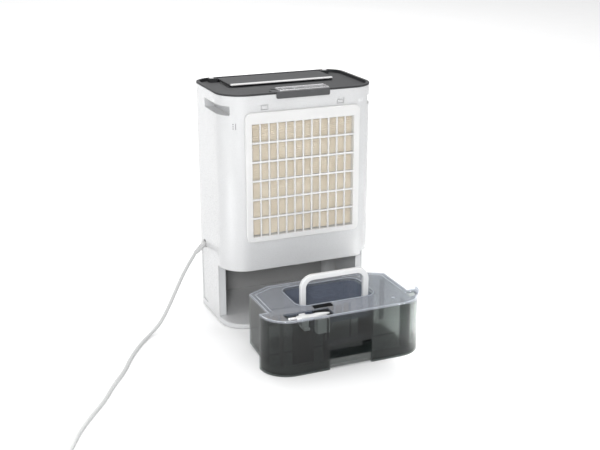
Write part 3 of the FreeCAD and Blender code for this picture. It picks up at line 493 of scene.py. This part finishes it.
def marks():
    """Three dots and a short upright line, the level marks of the casing."""
    shape = bmesh.new()
    for z in (431.5, 436, 440.5):
        centre, way = on_corner(-146, z)
        lofted(shape, [ring(centre + way * out * MM, way, thick * MM, 16)
                       for out, thick in ((-0.4, 1.1), (0.15, 1.1), (0.3, 0.8))])
    inner, way = on_corner(-141.5, 429, -0.4)
    side = way.cross(Vector((0, 0, 1)))
    sections = []
    for z, half in ((429.5, 0.3), (430, 0.55), (442, 0.55), (442.5, 0.3)):
        base = Vector((inner.x, inner.y, z * MM))
        sections.append([base + side * across * half * MM + way * out * MM
                         for across, out in ((-1, 0), (1, 0), (1, 0.6), (0, 0.75), (-1, 0.6))])
    lofted(shape, sections)
    return shape


piece("level_marks", marks(), "mark", "unit")


def rounded_ring(x, y, radius, z, steps=6):
    """Points of a rounded rectangle lying level, in casing millimetres."""
    points = []
    corners = ((x[1] - radius, y[1] - radius, 0), (x[0] + radius, y[1] - radius, 1),
               (x[0] + radius, y[0] + radius, 2), (x[1] - radius, y[0] + radius, 3))
    for cx, cy, quarter in corners:
        for k in range(steps + 1):
            angle = (quarter + k / steps) * math.pi / 2
            points.append(mm(cx + radius * math.cos(angle), cy + radius * math.sin(angle), z))
    return points


def inset_ring(x, y, inset, radius, z):
    """A rounded rectangle at level z, moved inwards from the given sides."""
    return rounded_ring((x[0] + inset, x[1] - inset), (y[0] + inset, y[1] - inset), radius, z)


BEZEL_X, BEZEL_Y, BEZEL_ROUND = (-46, 62), (-96.5, -63), 4
PAD_Y, PAD_HALF, PAD_STEP, PAD_FIRST = (-84, -74), 5, 24, -32


def bezel_shape():
    """A flat silver hoop, softened along its top edges."""
    steps = ((0, 497.1), (0, 501.2), (0.5, 501.7), (2.2, 501.7), (2.8, 501.1), (2.8, 497.1))
    shape = bmesh.new()
    lofted(shape, [inset_ring(BEZEL_X, BEZEL_Y, inset, BEZEL_ROUND - inset, z) for inset, z in steps],
           looped=True)
    return shape


def pane_shape():
    """The glossy window inside the bezel."""
    steps = ((2.9, 498.5), (2.9, 500.0), (3.4, 500.4))
    shape = bmesh.new()
    lofted(shape, [inset_ring(BEZEL_X, BEZEL_Y, inset, 1.2, z) for inset, z in steps])
    return shape


def pad_shape():
    """Four thin round pads on the window."""
    shape = bmesh.new()
    for k in range(4):
        x = PAD_FIRST + PAD_STEP * k
        lofted(shape, [inset_ring((x - PAD_HALF, x + PAD_HALF), PAD_Y, inset, 4.6 - inset, z)
                       for inset, z in ((0, 500.3), (0, 500.55), (0.3, 500.7))])
    return shape


bezel = piece("bezel_ring", bezel_shape(), "silver", "unit", crease=50)
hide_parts("display_bezel")
pane = piece("window_pane", pane_shape(), "display", "unit")
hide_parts("display_window")
piece("touch_pads", pad_shape(), "display_pad", "unit")


# ---------------------------------------------------------------- tank details

TANK_FRONT = -344
NOSE_DEEP, TANK_LONG, NOSE_ROUND, HALF, REAR_HALF, CLIP_LONG, CLIP_DEEP = 59.5, 186, 55, 168.5, 151, 46, 26


def nose_line(inset, from_behind=NOSE_DEEP, steps=14):
    """The tank's front edge in plan, from its left side round both corners to its right side."""
    radius = NOSE_ROUND - inset
    points = [(-HALF + inset, TANK_FRONT + from_behind)]
    for side, start in ((-1, math.pi), (1, 1.5 * math.pi)):
        for k in range(steps + 1):
            angle = start + k / steps * math.pi / 2
            points.append((side * (HALF - NOSE_ROUND) + radius * math.cos(angle),
                           TANK_FRONT + NOSE_ROUND + radius * math.sin(angle)))
    return points + [(HALF - inset, TANK_FRONT + from_behind)]


def lid_line(inset):
    """The lid's whole outline in plan, moved inwards."""
    slant = inset * 0.6
    rear = TANK_FRONT + TANK_LONG - inset
    half = REAR_HALF - inset
    clip = TANK_FRONT + TANK_LONG - CLIP_DEEP - slant
    corner = REAR_HALF - CLIP_LONG - slant
    shoulder = TANK_FRONT + NOSE_DEEP - inset
    right = [(half, shoulder), (half, clip), (corner, rear)]
    left = [(-x, y) for x, y in reversed(right)]
    return nose_line(inset, NOSE_DEEP - inset) + right + left


def bead(shape, line, other, low, high, looped=False):
    """A strip between two lines in plan that run side by side, from one level to another."""
    half = (low + high) / 2
    sections = []
    for (ax, ay), (bx, by) in zip(line, other):
        crown = ((ax + bx) / 2, (ay + by) / 2, high)
        section = ((ax, ay, low), (ax, ay, half), crown, (bx, by, half), (bx, by, low))
        sections.append([mm(*place) for place in section])
    lofted(shape, sections, looped)


def from_front(x, behind, z):
    """A place given by how far it lies behind the tank's front."""
    return mm(x, TANK_FRONT + behind, z)


def tank_sides(near, far):
    """Two depths behind the tank's front, as places of the casing's layout."""
    return TANK_FRONT + near, TANK_FRONT + far


def lid_beads():
    """A bead round the lid's edge, one along each rear corner, and a small nub."""
    foot, rim, low_rim = 113.9, 114.9, 114.8
    shape = bmesh.new()
    bead(shape, lid_line(1.0), lid_line(3.4), foot, rim, looped=True)
    outer_edge = [(x, TANK_FRONT + behind) for x, behind in ((142, 64), (142, 152), (101, 175), (60, 175))]
    inner_edge = [(x - 2.2, y - 1.6) for x, y in outer_edge]
    for side in (1, -1):
        bead(shape, [(side * x, y) for x, y in outer_edge], [(side * x, y) for x, y in inner_edge],
             foot, low_rim)
    lofted(shape, [ring(from_front(106, 33, z), (0, 0, 1), r * MM, 20)
                   for z, r in ((113.8, 3.6), (114.6, 3.6), (rim, 2.8))])
    return shape


def well_lip():
    """A thin rim round the opening of the handle well."""
    steps = ((0, 23, 114.8), (0, 23, 113.8), (1.5, 22, 113.8), (1.5, 22, 114.8))
    shape = bmesh.new()
    lofted(shape, [inset_ring((-86, 86), tank_sides(60, 166), inset, radius, z)
                   for inset, radius, z in steps], looped=True)
    return shape


def inlet_funnel():
    """The dark funnel below the lid's inlet."""
    shape = bmesh.new()
    lofted(shape, [inset_ring((-60, -18), tank_sides(42, 60), inset, 3, z)
                   for inset, z in ((0.2, 113.6), (1.5, 88), (2.7, 88), (1.4, 113.6))], looped=True)
    return shape


def foot_band():
    """The thicker foot of the shell's front wall."""
    shape = bmesh.new()
    bead(shape, nose_line(2.7), nose_line(4.2), 3.1, 21)
    return shape


# upright ribs and partitions inside the shell: left, right, near, far and foot
RIBS = ((-110, -108.4, 3, 9, 4), (-48.4, -47.0, 3, 10, 53), (47.0, 48.4, 3, 23, 53), (-1.0, 0.4, 3, 9, 53),
        (129, 130.6, 6, 46, 4), (-131, -129.6, 30, 46, 4), (136.5, 148, 150, 151.6, 14),
        (-106, -62, 40.6, 42.2, 4), (-30, -28.4, 62, 66, 4))
RIB_TOP = 106


def tank_ribs():
    shape = bmesh.new()
    for left, right, near, far, foot in RIBS:
        block(shape, from_front(left, near, foot), from_front(right, far, RIB_TOP))
    return shape


def leg_sleeves():
    """Dark sleeves round the sockets that the handle's legs slide in."""
    shape = bmesh.new()
    for side in (-1, 1):
        x = sorted((side * 58.0, side * 78.4))
        lofted(shape, [inset_ring(x, tank_sides(73.0, 91.0), inset, 2, z)
                       for inset, z in ((-0.6, 8), (-0.6, 64), (-0.1, 64), (-0.1, 8))], looped=True)
    return shape


def well_tray():
    """A raised square rim and a small boss on the floor of the handle well."""
    floor = 68.1
    shape = bmesh.new()
    lofted(shape, [inset_ring((4, 56), tank_sides(92, 131), inset, 3, z)
                   for inset, z in ((0, floor), (0, 72), (1.6, 72), (1.6, floor))], looped=True)
    lofted(shape, [ring(from_front(-28, 132, z), (0, 0, 1), r * MM, 18)
                   for z, r in ((floor, 3.2), (70, 3.2), (70.6, 2.2))])
    return shape


piece("lid_beads", lid_beads(), "bead", "lid", crease=25)
piece("well_lip", well_lip(), "bead", "lid", crease=25)
piece("inlet_funnel", inlet_funnel(), "black", "lid")
piece("tank_foot_band", foot_band(), "band", "tank", crease=25)
piece("tank_ribs", tank_ribs(), "rib", "tank", bevel=0.3 * MM)
piece("leg_sleeves", leg_sleeves(), "sleeve", "tank")
piece("well_tray", well_tray(), "bead", "tank", crease=25)


# ---------------------------------------------------------------- float

# sections along the lever: x, then near and far edge behind the tank's front, then bottom and top
ARM_SECTIONS = (
    (-107, 15, 26, 104.5, 112), (-105, 13.5, 27.5, 104, 113), (-99, 12.6, 28.2, 104, 113.6),
    (-95, 12.2, 28.6, 104, 114.6), (-90, 12.2, 28.6, 104, 114.8), (-84, 12.8, 28.2, 104, 113.4),
    (-74, 13.6, 27.2, 105, 112.6), (-66, 14, 27, 106, 113.6), (-58, 15.4, 26, 107.6, 113.8),
    (-47, 17.2, 24, 109.0, 113.2), (-38.4, 19.2, 22, 109.6, 112.4))
# rings along the cylinder: x and radius
CYLINDER_RINGS = (
    (-125, 3.2), (-124.2, 4.9), (-121.5, 5.4), (-121, 4.9), (-120.2, 4.9), (-119.8, 5.5), (-111, 5.5),
    (-110.5, 4.8), (-106, 4.8))


def float_arm():
    """The white float lever: a broad hub with a peak, and a wing that narrows to the right."""
    sections = []
    for x, near, far, low, high in ARM_SECTIONS:
        across, up = (far - near) / 2, (high - low) / 2
        middle = from_front(x, (near + far) / 2, (low + high) / 2)
        section = []
        for k in range(20):
            angle = 2 * math.pi * k / 20
            cos, sin = math.cos(angle), math.sin(angle)
            section.append(middle + Vector((0, math.copysign(abs(cos) ** 0.5, cos) * across * MM,
                                            math.copysign(abs(sin) ** 0.5, sin) * up * MM)))
        sections.append(section)
    shape = bmesh.new()
    lofted(shape, sections)
    for x, thick in ((-97, 2.4), (-70, 1.8)):
        lofted(shape, [ring(from_front(x, behind, 109.5), (0, 1, 0), thick * MM, 16)
                       for behind in (11.6, 12.0, 14)])
    return shape


def float_cylinder():
    """The silver cylinder at the lever's left end, with a groove near its tip."""
    shape = bmesh.new()
    lofted(shape, [ring(from_front(x, 20.5, 108.5), (1, 0, 0), thick * MM, 24)
                   for x, thick in CYLINDER_RINGS])
    return shape


arm = piece("float_arm", float_arm(), "gloss", "float", crease=45)
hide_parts("float_lever")
magnet = piece("float_cylinder", float_cylinder(), "silver", "float")
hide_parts("float_magnet")


# ---------------------------------------------------------------- room, light and camera

# lamps: place, what it is aimed at, width, power and beam angle. The two narrow ones wash the floor at
# either side, and the upright corners mirror what they light.
LAMPS = {
    "key": ((-1.35, -2.7, 1.4), (0, 0, 0.25), 0.7, 46, 180),
    "top": ((0.1, 0.6, 2.8), (0, 0, 0.25), 1.8, 16, 180),
    "far_floor": ((0, 3.2, 3.2), (0, 4.2, 0), 2.5, 90, 180),
    "left_wash": ((-1.15, -0.45, 0.9), (-1.0, -0.3, 0), 0.4, 3.5, 50),
    "right_wash": ((0.50, -0.22, 0.7), (0.36, -0.18, 0), 0.2, 2.0, 35),
}


def pale_floor():
    shape = bmesh.new()
    bmesh.ops.create_grid(shape, x_segments=1, y_segments=1, size=8)
    mesh = bpy.data.meshes.new("floor")
    shape.to_mesh(mesh)
    shape.free()
    ground = plastic("pale_floor", (0.96, 0.96, 0.96), 0.7, grain=60, depth=0.00002, shift=0.01, edge=0.0)
    mesh.materials.append(ground)
    floor = bpy.data.objects.new("floor", mesh)
    floor.location.z = -0.0001
    bpy.context.scene.collection.objects.link(floor)


def studio_sky():
    """A bright sky overhead that grows dimmer towards the horizon."""
    world = bpy.data.worlds.new("studio")
    world.use_nodes = True
    tree = world.node_tree
    split = tree.nodes.new("ShaderNodeSeparateXYZ")
    tree.links.new(tree.nodes.new("ShaderNodeTexCoord").outputs["Generated"], split.inputs["Vector"])
    sky = tint(tree, split.outputs["Z"], (0.42, 0.425, 0.435), (1.0, 1.0, 1.0))
    tree.links.new(sky, tree.nodes["Background"].inputs["Color"])
    tree.nodes["Background"].inputs["Strength"].default_value = 0.95
    bpy.context.scene.world = world


def lamps():
    for name, (place, target, size, power, beam) in LAMPS.items():
        light = bpy.data.lights.new(name, "AREA")
        light.shape = "DISK"
        light.size = size
        light.energy = power
        light.spread = math.radians(beam)
        lamp = bpy.data.objects.new(name, light)
        lamp.location = place
        aim = Vector(target) - Vector(place)
        lamp.rotation_euler = aim.to_track_quat("-Z", "Y").to_euler()
        bpy.context.scene.collection.objects.link(lamp)


def camera():
    """Looks down a little, from the left of the front."""
    azimuth, elevation, distance = math.radians(-22.88), math.radians(18.54), 2.1435
    target = mm(-5.2, -100, 215)
    back = Vector((math.sin(azimuth) * math.cos(elevation), -math.cos(azimuth) * math.cos(elevation),
                   math.sin(elevation)))
    lens = bpy.data.cameras.new("camera")
    lens.lens = 61.56
    made = bpy.data.objects.new("camera", lens)
    made.location = target + back * distance
    made.rotation_euler = (-back).to_track_quat("-Z", "Y").to_euler()
    bpy.context.scene.collection.objects.link(made)
    bpy.context.scene.camera = made


pale_floor()
studio_sky()
lamps()
camera()
bpy.context.scene.view_settings.view_transform = "Standard"
bpy.context.scene.cycles.transparent_max_bounces = 24
